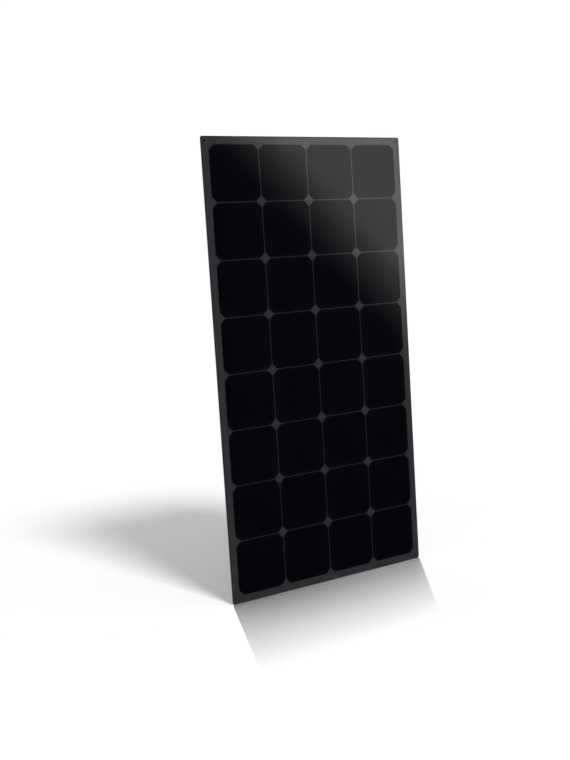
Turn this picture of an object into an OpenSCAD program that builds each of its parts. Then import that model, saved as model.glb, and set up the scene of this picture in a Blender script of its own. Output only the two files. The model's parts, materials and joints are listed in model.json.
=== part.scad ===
// Frameless black solar panel: back-contact cells laminated on a thin glass-fibre board,
// with a junction box, two clipped cables and a pair of connectors on its back.
// Frame: X to the right seen from the front, Z up along the long side, the front faces -Y.
// Origin: centre of the board's rear face, halfway between the four corner holes.
// Units: millimetres.

/* [Panel] */
// Overall width of the backing board
panel_w = 542; // [530:1:560]
// Overall height of the backing board
panel_h = 1050; // [1040:1:1070]
// Corner radius of the backing board
corner_r = 5; // [4:0.5:8]
// Thickness of the glass-fibre backing board
board_t = 1.6; // [1.2:0.1:2.4]
// Width of the board rim left round the laminate, filled by the edge seal
rim_w = 2; // [1.5:0.5:3]
// Diameter of the corner mounting holes
hole_d = 5.5; // [4.5:0.1:6.5]
// Distance from the centres of the corner holes to the board's edges
hole_inset = 10; // [9:0.5:12]

/* [Cells] */
// Side of a pseudo-square cell
cell_s = 125; // [124:0.5:125.5]
// Diameter of the round wafer that a cell is cut from, which sets its corner cuts
wafer_d = 160; // [156:1:165]
// Gap between neighbouring cells
cell_gap = 2; // [1.5:0.1:2.5]
// Thickness of a cell
cell_t = 0.2; // [0.16:0.02:0.3]

/* [Laminate] */
// Thickness of the clear front film
film_t = 0.2; // [0.1:0.05:0.4]
// Thickness of the clear encapsulant in front of the cells
front_eva_t = 0.4; // [0.3:0.05:0.6]
// Thickness of the black encapsulant behind the cells
rear_eva_t = 0.4; // [0.35:0.05:0.6]
// Thickness of the black insulating film on the board
insulation_t = 0.2; // [0.1:0.05:0.3]
// Width of the bus and lead ribbons
ribbon_w = 5; // [4:0.5:6]

/* [Junction box] */
// Width of the junction box
box_w = 112; // [108:1:118]
// Height of the junction box along the panel
box_h = 62; // [60:1:66]
// Height of the box centre above the panel centre
box_z = 425; // [410:1:435]
// Wall thickness of the box
box_wall = 2.5; // [2:0.25:3]
// Distance of each outer terminal and gland from the middle of the box
gland_x = 33; // [32:0.5:34]

/* [Cables] */
// Outside diameter of the cable jacket
cable_d = 6; // [5.4:0.1:6]
// Diameter of the copper conductor
core_d = 2.6; // [2.3:0.1:2.6]
// Bend radius of the cables, to their axis
bend_r = 40; // [30:5:50]
// Length of the level stretch between a cable's two bends
level = 20; // [5:1:60]
// Height above the panel centre at which a cable leaves its last clip and can swing
tail_z = 62; // [40:1:80]
// Distance from there down to the shoulder of the connector
tail_len = 104; // [90:1:160]

/* [Hidden] */
$fn = 64;

sides = [-1, 1]; // -1 is the positive side, at -X; 1 the negative one, at +X

cell_cols = 4;
cell_rows = 8;
pitch = cell_s + cell_gap;
lam_w = panel_w - 2*rim_w;
lam_h = panel_h - 2*rim_w;
lam_r = corner_r - rim_w;

// planes of the laminate's layers, from the board forwards
tab_t = 0.1;
ribbon_t = 0.2;
y_board = -board_t;
y_ins = y_board - insulation_t;
y_cell_rear = y_ins - rear_eva_t;
y_tab = y_cell_rear + tab_t;
y_ribbon = y_tab + ribbon_t;
y_cell = y_cell_rear - cell_t;
y_eva = y_cell - front_eva_t;
y_front = y_eva - film_t;

// terminals and the slots behind them, where the leads enter the box
terminal_xs = [-gland_x, 0, gland_x];
terminal_y = [6.4, 7.1];
slot_z = box_z + 14;

box_rim = 15; // y of the open edge of the box
gland_z = box_z - box_h/2;

// axis of the cables, from the glands down to the connectors
cable_y = 8.6;
cable_r = cable_d/2;
core_r = core_d/2;
core_bore_r = core_r + 0.05;
upper_bend_z = gland_z - 44;
level_z = upper_bend_z - bend_r;
lower_bend_z = level_z - bend_r;
tail_x = gland_x + 2*bend_r + level;
conn_z = tail_z - tail_len;

board_black = [0.10, 0.10, 0.11];
black = [0.06, 0.06, 0.065];
cell_black = [0.02, 0.02, 0.03];
diode_black = [0.08, 0.08, 0.09];
pad_black = [0.12, 0.12, 0.13];
insulator_grey = [0.2, 0.2, 0.2];
gasket_grey = [0.25, 0.25, 0.26];
o_ring_grey = [0.3, 0.3, 0.31];
copper = [0.78, 0.45, 0.28];
tin = [0.72, 0.73, 0.75];
rubber = [0.04, 0.04, 0.04];
clear = [0.85, 0.9, 0.95, 0.25];

// ---------- helpers ----------
// Extents are [from, to] pairs; an extent in x may run either way.
function about(mid, half) = [mid - half, mid + half];

module slab(y) // an outline in X and Z, filled over the extent y
  translate([0, y[1], 0]) rotate([90, 0, 0]) linear_extrude(height = y[1] - y[0]) children();
module rounded_rect(width, height, radius) {
  square([width - 2*radius, height], center = true);
  square([width, height - 2*radius], center = true);
  for (side_x = sides, side_z = sides)
    translate([side_x*(width/2 - radius), side_z*(height/2 - radius)]) circle(radius);
}
module bar(x, y, z)
  translate([min(x[0], x[1]), y[0], z[0]])
    cube([abs(x[1] - x[0]), y[1] - y[0], z[1] - z[0]]);
module x_cyl(x, radius, y, z)
  translate([min(x[0], x[1]), y, z]) rotate([0, 90, 0])
    cylinder(r = radius, h = abs(x[1] - x[0]));
module y_cyl(y, radius, x = 0, z = 0)
  translate([x, y[0], z]) rotate([-90, 0, 0]) cylinder(r = radius, h = y[1] - y[0]);
module z_cyl(z, radius, x = 0, y = 0)
  translate([x, y, z[0]]) cylinder(r = radius, h = z[1] - z[0]);

// ---------- cells, ribbons and insulators ----------
// pads behind the cells' ends
pad_dx = 42;
pad_w = 8;
link_w = 2.4;

// middle lines of the upper and lower buses and of the leads to the box
half_ribbon = ribbon_w/2;
bus_z = (cell_rows/2)*pitch - cell_gap/2 - 6;
bus_overhang = 5; // beyond the middle of the last pad
lead_row_z = box_z + 52;
outer_x = col_x(cell_cols - 1) - 48;

insulator_half = 5; // half the width of a strip
insulator_foot = slot_z + 2;
insulator_top = bus_z - 5;

slot_half = 3.5;
slot_gap = 1.5; // above and below the ribbon

function col_x(i) = (i - (cell_cols - 1)/2)*pitch;
function row_z(j) = ((cell_rows - 1)/2 - j)*pitch;

module cell_string(i)
  for (j = [0 : cell_rows - 1])
    translate([col_x(i), 0, row_z(j)]) slab([y_cell, y_cell_rear]) intersection() {
      square(cell_s, center = true);
      circle(r = wafer_d/2);
    }

// flat copper link with three pads, pad_h high over both sides
module dog_bone(pad_h) slab([y_cell_rear, y_tab]) {
  square([2*(pad_dx + pad_w), link_w], center = true);
  for (x = [-pad_dx, 0, pad_dx]) translate([x, 0]) square([pad_w, pad_h], center = true);
}
module interconnects()
  for (i = [0 : cell_cols - 1]) {
    for (j = [0 : cell_rows - 2]) translate([col_x(i), 0, row_z(j) - pitch/2]) dog_bone(11);
    for (end = [-1, 1]) translate([col_x(i), 0, end*bus_z]) dog_bone(7.2);
  }

module ribbon(x, z) bar(x, [y_tab, y_ribbon], z);
module bus(first, last, end) // over the columns first to last; end = 1 at the top
  ribbon([col_x(first) - pad_dx - bus_overhang, col_x(last) + pad_dx + bus_overhang],
    about(end*bus_z, half_ribbon));
// the ribbon's end, folded back through the board into the box
module riser(x)
  bar(about(x, half_ribbon), [y_tab, terminal_y[1]], [slot_z, slot_z + ribbon_t]);
module centre_lead() {
  bus(1, 2, 1);
  ribbon(about(0, half_ribbon), [slot_z, bus_z + half_ribbon]);
  riser(0);
}
module outer_lead(side) {
  bus_end = col_x(cell_cols - 1) + pad_dx + bus_overhang;
  ribbon(side*[bus_end, outer_x - half_ribbon], about(bus_z, half_ribbon));
  ribbon(about(side*outer_x, half_ribbon), [lead_row_z - half_ribbon, bus_z + half_ribbon]);
  ribbon(side*[outer_x + half_ribbon, gland_x - half_ribbon], about(lead_row_z, half_ribbon));
  ribbon(about(side*gland_x, half_ribbon), [slot_z, lead_row_z + half_ribbon]);
  riser(side*gland_x);
}

module strip(x, z) bar(x, [y_cell_rear, y_tab], z);
module insulators() { // strips that keep the leads off the cells they cross
  half = insulator_half;
  for (side = sides) {
    strip(side*[outer_x + half, gland_x - half], about(lead_row_z, half));
    strip(about(side*outer_x, half), [lead_row_z - half, insulator_top]);
    strip(about(side*gland_x, half), [insulator_foot, lead_row_z + half]);
  }
  strip(about(0, half), [insulator_foot, insulator_top]);
}

// ---------- board, films and encapsulants ----------
cut = 1; // how far cutters pass the faces they open

module corner_holes(front) // through everything behind the plane y = front
  for (side_x = sides, side_z = sides)
    y_cyl([front - cut, cut], hole_d/2,
      x = side_x*(panel_w/2 - hole_inset), z = side_z*(panel_h/2 - hole_inset));
module lead_slots(y)
  for (x = terminal_xs)
    bar(about(x, slot_half), y, [slot_z - slot_gap, slot_z + ribbon_t + slot_gap]);
module laminate_sheet(y) difference() {
  slab(y) rounded_rect(lam_w, lam_h, lam_r);
  corner_holes(y[0]);
}

module backing_board() color(board_black) difference() {
  slab([y_board, 0]) rounded_rect(panel_w, panel_h, corner_r);
  corner_holes(y_board);
  lead_slots([y_board - cut, cut]);
}
module insulating_film() color(black) difference() {
  laminate_sheet([y_ins, y_board]);
  lead_slots([y_ins - cut, cut]);
}
// fills the space round the cells and everything behind them
module rear_encapsulant() color(black) difference() {
  laminate_sheet([y_cell, y_ins]);
  for (i = [0 : cell_cols - 1]) cell_string(i);
  interconnects();
  bus(0, 1, -1);
  bus(2, 3, -1);
  centre_lead();
  for (side = sides) outer_lead(side);
  insulators();
  lead_slots([y_tab, cut]);
}
module front_encapsulant() color(clear) laminate_sheet([y_eva, y_cell]);
module front_film() color(clear) laminate_sheet([y_front, y_eva]);

// Sloped bead of black sealant on the rim, round the laminate.
// Columns: distance out from the laminate's edge, distance forward of the board's rear face.
seal_outline = [
  [0, board_t], [rim_w, board_t], [rim_w, board_t + 0.25],
  [0.9*rim_w, board_t + 0.5], [0.45*rim_w, -y_front - 0.15], [0, -y_front - 0.02]];
seal_corners = [[1, 1], [-1, 1], [-1, -1], [1, -1]]; // signs of x and z, a quarter turn apart

module seal_side(len)
  rotate([90, 0, 0]) translate([0, 0, -len/2]) linear_extrude(height = len)
    polygon(seal_outline);
module edge_seal() color(rubber) rotate([90, 0, 0]) {
  for (angle = [0, 180]) rotate([0, 0, angle]) {
    translate([lam_w/2, 0, 0]) seal_side(lam_h - 2*lam_r);
    rotate([0, 0, 90]) translate([lam_h/2, 0, 0]) seal_side(lam_w - 2*lam_r);
  }
  for (k = [0 : 3])
    translate([seal_corners[k][0]*(lam_w/2 - lam_r), seal_corners[k][1]*(lam_h/2 - lam_r), 0])
      rotate([0, 0, 90*k]) rotate_extrude(angle = 90)
        translate([lam_r, 0]) polygon(seal_outline);
}

// ---------- cable glands, the same on the box and on the connectors ----------
// Gland frame: the housing's wall is z = 0 and the cable leaves towards -Z.
spigot_end = -11;
spigot_r = 5.2;
pocket_end = -6; // inner end of the pocket that holds the seal
pocket_r = 4.2;
cage_flange = [-12, -11.1];
cage_end = -13.7;
nut_top = -3.2;
nut_taper = [-16.8, -13.8];
nut_r = 7.6;
nut_tip_r = 5.6;

module gland_spigot() {
  z_cyl([spigot_end, 0.5], spigot_r);
  z_cyl([-2.5, 0.5], 6.4);
}
module gland_bore() {
  z_cyl([spigot_end - cut, 4], 3.1);
  z_cyl([spigot_end - cut, pocket_end], pocket_r);
}
module gland_seal() difference() {
  z_cyl([-10.5, pocket_end - 0.1], pocket_r - 0.05);
  z_cyl([-12, -5], cable_r + 0.03);
}
module gland_cage() difference() {
  union() {
    z_cyl(cage_flange, 4.95);
    z_cyl([cage_end, cage_flange[1]], 4.3);
  }
  z_cyl([-15, -10], cable_r + 0.2);
  // three slits across make six fingers
  for (angle = [0, 60, 120]) rotate([0, 0, angle])
    bar(about(0, 6), about(0, 0.35), [-15, -12.2]);
}
module gland_nut() difference() {
  union() {
    z_cyl([nut_taper[1], nut_top], nut_r);
    translate([0, 0, nut_taper[0]])
      cylinder(r1 = nut_tip_r, r2 = nut_r, h = nut_taper[1] - nut_taper[0]);
  }
  z_cyl([nut_taper[1], -2], spigot_r + 0.06);
  z_cyl([-18, -2], cable_r + 0.45);
  // flutes
  for (angle = [0 : 36 : 324]) rotate([0, 0, angle]) z_cyl([-18, -5], 1.35, x = 8.35);
}
module on_gland(side) translate([side*gland_x, cable_y, gland_z]) children();
module on_tail(side)
  translate([side*tail_x, cable_y, conn_z]) rotate([180, 0, 0]) children();

// ---------- junction box ----------
box_r = 6;
box_top_z = box_z + box_h/2;
floor_y = [0.8, 2.8]; // in front of the floor lies the adhesive
root_y = 2.5; // parts standing on the floor start inside it

screw_x = box_w/2 - 9;
screw_z = gland_z + 9;

hinge_xs = [-31, 31];
hinge_y = box_rim - 0.8;
hinge_z = box_top_z + 3.4;
lug_xs = [for (x = hinge_xs, dx = [-7, 7]) x + dx];
lug_half = 2;
lug_r = 3.2;
barrel_half = 4.8;
pin_r = 1.25;

lid_w = box_w + 4;
lid_h = box_h + 2;
lid_r = 7;
lid_dz = -1; // lid's middle from the box's middle
lid_y0 = box_rim + 0.3;
lid_y1 = lid_y0 + 2.5;
groove_y = lid_y0 + 0.8;
sign_z = box_z - 25;
sign_half = 2.2;
sign_half_w = 0.4;
screw_seat_y = lid_y1 - 1.7;
screw_head_y = lid_y1 - 1.2;

wire_bore_r = 1.4; // bore for the conductor in terminals and contacts

diode_x = gland_x/2;
diode_y = 9.8;
diode_z = box_z + 4;
diode_half = 4.75;
diode_reach = 13.5; // from the diode's middle to the bend of its lead
diode_lead_r = 0.6;

module box_outline(inset = 0)
  rounded_rect(box_w - 2*inset, box_h - 2*inset, box_r - inset);
module box_slab(y, dz = 0) translate([0, 0, box_z + dz]) slab(y) children();
module screw_places() for (side = sides) translate([side*screw_x, 0, screw_z]) children();

module box_adhesive() color(rubber) box_slab([0, floor_y[0]]) difference() {
  box_outline(1);
  translate([0, 1]) rounded_rect(box_w - 16, box_h - 18, 3);
}
module hinge_lug(x) {
  x_cyl(about(x, lug_half), lug_r, hinge_y, hinge_z);
  bar(about(x, lug_half), [hinge_y - lug_r, hinge_y], [box_top_z - 1, hinge_z]);
  bar(about(x, lug_half), [hinge_y - 7, hinge_y - 1], [box_top_z - 1, hinge_z - 1.4]);
}
module box_base() color(black) difference() {
  union() {
    box_slab(floor_y) box_outline();
    box_slab([floor_y[1], box_rim]) difference() {
      box_outline();
      box_outline(box_wall);
    }
    // bosses for the lid screws, webbed to the side walls
    screw_places() y_cyl([root_y, box_rim], 3.8);
    for (side = sides)
      bar(side*[screw_x, box_w/2 - 1], [root_y, box_rim - 1], about(screw_z, 0.8));
    // posts under the terminals, and partitions between them
    for (x = terminal_xs)
      bar(about(x, 4), [root_y, terminal_y[0]], [box_z - 5, box_z + 10]);
    for (side = sides)
      bar(about(side*gland_x/2, 0.8), [root_y, 11], [box_z - 24, box_z - 2]);
    for (x = lug_xs) hinge_lug(x);
    for (side = sides) on_gland(side) gland_spigot();
  }
  screw_places() y_cyl([7.5, box_rim + cut], 1.85);
  lead_slots([0, 4]);
  for (x = lug_xs) x_cyl(about(x, lug_half + cut), pin_r + 0.02, hinge_y, hinge_z);
  for (side = sides) on_gland(side) gland_bore();
}
module gasket_ring() difference() {
  box_outline(0.65);
  box_outline(1.85);
}
// raised plus over the positive gland, raised minus over the negative one
module polarity_signs() {
  sign_y = [lid_y1 - 0.5, lid_y1 + 0.4];
  for (side = sides)
    bar(about(side*gland_x, sign_half), sign_y, about(sign_z, sign_half_w));
  bar(about(-gland_x, sign_half_w), sign_y, about(sign_z, sign_half));
}
module box_lid() color(black) difference() {
  union() {
    box_slab([lid_y0, lid_y1], lid_dz) rounded_rect(lid_w, lid_h, lid_r);
    // skirt outside the walls, open on the hinge side
    box_slab([box_rim - 2.2, lid_y0 + 0.5], lid_dz) difference() {
      rounded_rect(lid_w, lid_h, lid_r);
      translate([0, 10]) rounded_rect(box_w + 0.9, box_h + 20.9, 6.2);
    }
    // raised field in the middle
    box_slab([lid_y1 - 0.5, lid_y1 + 0.8], 2) rounded_rect(box_w - 28, box_h - 26, 4);
    // hinge barrels and their straps
    for (x = hinge_xs) {
      x_cyl(about(x, barrel_half), 3, hinge_y, hinge_z);
      bar(about(x, barrel_half), [lid_y0, hinge_y + 2.6], [box_top_z - 2, hinge_z]);
    }
    polarity_signs();
    // lip for a fingertip on the free edge
    bar(about(0, 12), [lid_y1 - 1.4, lid_y1], [gland_z - 4.5, gland_z]);
  }
  for (x = hinge_xs) x_cyl(about(x, 6), pin_r + 0.08, hinge_y, hinge_z);
  box_slab([lid_y0 - cut, groove_y]) gasket_ring();
  screw_places() {
    y_cyl([lid_y0 - cut, lid_y1 + cut], 1.6);
    y_cyl([screw_seat_y, lid_y1 + cut], 3.4);
  }
  // notches in the skirt over the glands
  for (side = sides)
    bar(about(side*gland_x, 8), [box_rim - 4, box_rim + 0.2], [gland_z - 6, gland_z]);
}
module lid_gasket() color(gasket_grey) box_slab([box_rim, groove_y]) gasket_ring();
module hinge_pins() color(tin)
  for (x = hinge_xs) x_cyl(about(x, 9.4), pin_r, hinge_y, hinge_z);
module lid_screw(side) color(tin) translate([side*screw_x, 0, screw_z]) difference() {
  union() {
    y_cyl([box_rim - 4, lid_y1 - 1], 1.5);
    y_cyl([screw_head_y, lid_y1 + 0.2], 3.2);
  }
  bar(about(0, 4), [lid_y1 - 0.6, lid_y1 + cut], about(0, 0.45));
}
module screw_washer(side) color(rubber) translate([side*screw_x, 0, screw_z]) difference() {
  y_cyl([screw_seat_y, screw_head_y], 3);
  y_cyl([lid_y1 - 3, lid_y1], 1.55);
}
// flat terminal; the outer ones have a barrel for the cable's conductor
module terminal(x, barrel) color(tin) difference() {
  union() {
    bar(about(x, 5), terminal_y, [box_z - 8, slot_z]);
    if (barrel) {
      bar(about(x, 1.8), terminal_y, [box_z - 14, box_z - 7]);
      z_cyl([box_z - 20, box_z - 11], 2.3, x, cable_y);
    }
  }
  if (barrel) z_cyl([box_z - 21, box_z - 10], wire_bore_r, x, cable_y);
}
module bypass_diodes() color(diode_black)
  for (side = sides) x_cyl(about(side*diode_x, diode_half), 2.6, diode_y, diode_z);
module diode_leads() color(tin)
  for (side = sides, end = [-1, 1]) {
    bend_x = side*diode_x + end*diode_reach;
    x_cyl([side*diode_x + end*diode_half, bend_x], diode_lead_r, diode_y, diode_z);
    translate([bend_x, diode_y, diode_z]) sphere(diode_lead_r);
    y_cyl([terminal_y[1], diode_y], diode_lead_r, bend_x, diode_z);
  }
module gland_seals() color(rubber) for (side = sides) on_gland(side) gland_seal();

// ---------- cables and their clips ----------
clip_half_w = 9;
clip_half_h = 6;
clip_pad_t = 0.8;
saddle_r = 4.9;
saddle_half_h = 4.5;

module ring(outer_r, inner_r) difference() {
  circle(outer_r);
  if (inner_r > 0) circle(inner_r);
}
module tube(len, outer_r, inner_r) linear_extrude(height = len) ring(outer_r, inner_r);
module bend(outer_r, inner_r)
  rotate_extrude(angle = 90) translate([bend_r, 0]) ring(outer_r, inner_r);
// down from the gland, outwards and down again
module run(side, outer_r, inner_r, top_z, end_z) mirror([side < 0 ? 1 : 0, 0, 0]) {
  translate([gland_x, cable_y, upper_bend_z]) tube(top_z - upper_bend_z, outer_r, inner_r);
  translate([gland_x + bend_r, cable_y, upper_bend_z])
    rotate([90, 0, 0]) rotate([0, 0, 180]) bend(outer_r, inner_r);
  translate([gland_x + bend_r, cable_y, level_z])
    rotate([0, 90, 0]) tube(level, outer_r, inner_r);
  translate([tail_x - bend_r, cable_y, lower_bend_z])
    rotate([90, 0, 0]) bend(outer_r, inner_r);
  translate([tail_x, cable_y, end_z]) tube(lower_bend_z - end_z, outer_r, inner_r);
}
module cable(side) color(rubber) run(side, cable_r, core_bore_r, gland_z + 6, tail_z + 3.1);
module conductor(side) color(copper) run(side, core_r, 0, box_z - 12, tail_z + 3.6);
module cable_tail(side) color(rubber) translate([side*tail_x, cable_y, 0]) difference() {
  union() {
    translate([0, 0, tail_z]) sphere(cable_r);
    z_cyl([conn_z - 2, tail_z], cable_r);
  }
  z_cyl([conn_z - 3, tail_z + 1], core_bore_r);
}
module conductor_tail(side) color(copper)
  z_cyl([conn_z - 9, tail_z + 0.9], core_r, side*tail_x, cable_y);

module clip_places()
  for (side = sides, z = [tail_z + 18, lower_bend_z - 30])
    translate([side*tail_x, 0, z]) children();
module clip_pads() color(pad_black) clip_places()
  bar(about(0, clip_half_w), [0, clip_pad_t], about(0, clip_half_h));
module cable_clips() color(black) clip_places() difference() {
  union() {
    bar(about(0, clip_half_w), [clip_pad_t, 2.4], about(0, clip_half_h));
    bar(about(0, saddle_r), [2, cable_y], about(0, saddle_half_h));
    z_cyl(about(0, saddle_half_h), saddle_r, y = cable_y);
  }
  z_cyl(about(0, 7), cable_r + 0.05, y = cable_y);
  bar(about(0, 2.3), [cable_y, cable_y + 8], about(0, 7));
}

// ---------- connectors ----------
// Connector frame: the shoulder is z = 0, the cable enters from -Z, the mating end is at +Z.
flange_r = 7.6;
grip_end = 17;
body_end = 38;
contact_end = 34;
o_ring_z = 21.3;

module grip() // flanged grip with flutes, common to both halves
  difference() {
    union() {
      z_cyl([0, 3], flange_r);
      z_cyl([3, grip_end], 6.9);
    }
    for (angle = [30 : 60 : 330]) rotate([0, 0, angle]) z_cyl([4.5, 15.5], 1.6, x = 7.7);
  }
module contact_bore() z_cyl([2.5, 25], 2.5);
module contact_barrel() { // with a collar that fits the contact bore
  z_cyl([3, 13], 2.4);
  z_cyl([15, 17], 2.48);
}
module wire_bore() z_cyl([2, 11], wire_bore_r);

module plug_body() color(black) on_tail(-1) difference() {
  union() {
    gland_spigot();
    grip();
    z_cyl([grip_end, 20], flange_r);
    z_cyl([20, body_end], 5);
    // snap arms on both sides of the nose
    for (side = sides) {
      bar(side*[6.1, 7.4], about(0, 2), [19, 37]);
      bar(side*[7.2, 8.1], about(0, 2), [31, 34]);
    }
  }
  gland_bore();
  contact_bore();
  z_cyl([24, body_end + cut], 3.7);
  // groove for the O-ring
  difference() {
    z_cyl(about(o_ring_z, 0.9), 6);
    z_cyl([20, 23], 4.3);
  }
}
module plug_contact() color(tin) on_tail(-1) difference() {
  union() {
    contact_barrel();
    z_cyl([13, contact_end], 2.2);
  }
  wire_bore();
  z_cyl([21, contact_end + cut], 1.55);
  bar(about(0, 3), about(0, 0.25), [24, contact_end + cut]);
}
module plug_o_ring() color(o_ring_grey) on_tail(-1) translate([0, 0, o_ring_z])
  rotate_extrude() translate([5.2, 0]) circle(0.85);

module socket_body() color(black) on_tail(1) difference() {
  union() {
    gland_spigot();
    grip();
    z_cyl([16, body_end], 8.1);
  }
  gland_bore();
  contact_bore();
  z_cyl([20, body_end + cut], 5.9);
  // channels and windows for the snap arms
  for (side = sides) {
    bar(side*[5, 7.5], about(0, 2.3), [20.5, body_end + cut]);
    bar(side*[5, 9], about(0, 2.3), [29, 34.5]);
  }
}
module socket_contact() color(tin) on_tail(1) difference() {
  union() {
    contact_barrel();
    z_cyl([12, contact_end], 1.5);
    translate([0, 0, contact_end]) sphere(1.5);
  }
  wire_bore();
}

backing_board();
insulating_film();
rear_encapsulant();
color(cell_black) cell_string(0);  // cell_string_1
color(cell_black) cell_string(1);  // cell_string_2
color(cell_black) cell_string(2);  // cell_string_3
color(cell_black) cell_string(3);  // cell_string_4
color(copper) interconnects();  // cell_interconnects
color(tin) bus(0, 1, -1);  // bus_ribbon_lower_left
color(tin) bus(2, 3, -1);  // bus_ribbon_lower_right
color(tin) centre_lead();  // centre_lead_ribbon
color(tin) outer_lead(-1);  // positive_lead_ribbon
color(tin) outer_lead(1);  // negative_lead_ribbon
color(insulator_grey) insulators();  // lead_insulators
front_encapsulant();
front_film();
edge_seal();
box_adhesive();
box_base();
box_lid();
lid_gasket();
hinge_pins();
lid_screw(-1);  // lid_screw_left
lid_screw(1);  // lid_screw_right
screw_washer(-1);  // screw_washer_left
screw_washer(1);  // screw_washer_right
terminal(-gland_x, true);  // terminal_positive
terminal(0, false);  // terminal_centre
terminal(gland_x, true);  // terminal_negative
bypass_diodes();
diode_leads();
gland_seals();
color(black) on_gland(-1) gland_cage();  // gland_cage_positive
color(black) on_gland(1) gland_cage();  // gland_cage_negative
color(black) on_gland(-1) gland_nut();  // gland_nut_positive
color(black) on_gland(1) gland_nut();  // gland_nut_negative
clip_pads();
cable_clips();
cable(-1);  // cable_positive
cable(1);  // cable_negative
conductor(-1);  // conductor_positive
conductor(1);  // conductor_negative
cable_tail(-1);  // cable_tail_positive
cable_tail(1);  // cable_tail_negative
conductor_tail(-1);  // conductor_tail_positive
conductor_tail(1);  // conductor_tail_negative
plug_body();
plug_contact();
plug_o_ring();
color(rubber) on_tail(-1) gland_seal();  // plug_cable_seal
color(black) on_tail(-1) gland_cage();  // plug_cage
color(black) on_tail(-1) gland_nut();  // plug_nut
socket_body();
socket_contact();
color(rubber) on_tail(1) gland_seal();  // socket_cable_seal
color(black) on_tail(1) gland_cage();  // socket_cage
color(black) on_tail(1) gland_nut();  // socket_nut
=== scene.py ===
"""A flexible solar panel with a junction box and two cables on its back, on a white studio floor.

Metres, +Z up. The panel stands upright in the XZ plane, centred on x = z = 0: its cells face -Y,
and the box and cables lie on its +Y side, with the positive cable at -X and the negative at +X.
"""

import json
import math

import bmesh
import bpy
from mathutils import Matrix, Vector

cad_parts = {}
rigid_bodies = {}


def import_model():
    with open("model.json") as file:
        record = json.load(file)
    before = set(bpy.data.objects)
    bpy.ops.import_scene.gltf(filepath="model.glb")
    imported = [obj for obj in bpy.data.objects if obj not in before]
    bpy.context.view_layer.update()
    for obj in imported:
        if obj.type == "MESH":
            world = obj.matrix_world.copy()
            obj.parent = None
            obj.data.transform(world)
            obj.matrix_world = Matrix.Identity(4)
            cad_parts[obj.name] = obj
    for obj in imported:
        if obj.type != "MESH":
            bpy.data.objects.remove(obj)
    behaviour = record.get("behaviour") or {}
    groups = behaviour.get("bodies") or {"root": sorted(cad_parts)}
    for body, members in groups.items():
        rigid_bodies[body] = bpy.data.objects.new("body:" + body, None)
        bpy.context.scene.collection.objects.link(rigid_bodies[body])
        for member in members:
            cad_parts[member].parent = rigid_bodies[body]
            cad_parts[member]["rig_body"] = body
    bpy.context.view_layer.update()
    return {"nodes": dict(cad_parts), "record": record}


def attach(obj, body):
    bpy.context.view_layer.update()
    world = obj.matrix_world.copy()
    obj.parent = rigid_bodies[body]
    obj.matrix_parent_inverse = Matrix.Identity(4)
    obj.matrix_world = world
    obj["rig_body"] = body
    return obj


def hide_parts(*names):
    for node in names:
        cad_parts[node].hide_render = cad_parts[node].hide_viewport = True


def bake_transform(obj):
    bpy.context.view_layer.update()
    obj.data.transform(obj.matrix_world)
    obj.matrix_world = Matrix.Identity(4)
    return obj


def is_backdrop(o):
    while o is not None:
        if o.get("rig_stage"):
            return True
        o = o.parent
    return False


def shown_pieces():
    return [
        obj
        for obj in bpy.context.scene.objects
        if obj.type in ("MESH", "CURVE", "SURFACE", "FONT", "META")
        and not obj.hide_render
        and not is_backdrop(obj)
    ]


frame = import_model()
nodes = frame["nodes"]
scene = bpy.context.scene
MM = 0.001
WHITE = (1.0, 1.0, 1.0)

CELL_PITCH = 0.127
CELLS_HALF_WIDTH = 2 * CELL_PITCH
CELLS_HALF_HEIGHT = 4 * CELL_PITCH
SCREW_X, SCREW_Z = 0.047, 0.403  # lid screws, at both sides of the middle


# ------------------------------------------------------------------ shader graphs
class Signal:
    """A node's output. Arithmetic and comparisons on it add Math nodes to its graph."""

    def __init__(self, graph, socket):
        self.graph = graph
        self.socket = socket

    def __add__(self, other):
        return self.graph.math("ADD", self, other)

    def __radd__(self, other):
        return self.graph.math("ADD", other, self)

    def __sub__(self, other):
        return self.graph.math("SUBTRACT", self, other)

    def __rsub__(self, other):
        return self.graph.math("SUBTRACT", other, self)

    def __mul__(self, other):
        return self.graph.math("MULTIPLY", self, other)

    def __truediv__(self, other):
        return self.graph.math("DIVIDE", self, other)

    def __lt__(self, other):
        return self.graph.math("LESS_THAN", self, other)

    def __gt__(self, other):
        return self.graph.math("GREATER_THAN", self, other)

    def __abs__(self):
        return self.graph.math("ABSOLUTE", self)

    def remap(self, low, high, start=0.3, end=0.7, **settings):
        """Takes start..end to low..high, clamped. By default start..end is where noise mostly lies."""
        inputs = {0: self, 1: start, 2: end, 3: low, 4: high}
        return self.graph.make("MapRange", inputs, clamp=True, **settings)

    def ramp(self, start, end):
        """A smooth step from 0 at start to 1 at end."""
        return self.remap(0.0, 1.0, start, end, interpolation_type="SMOOTHSTEP")


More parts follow.
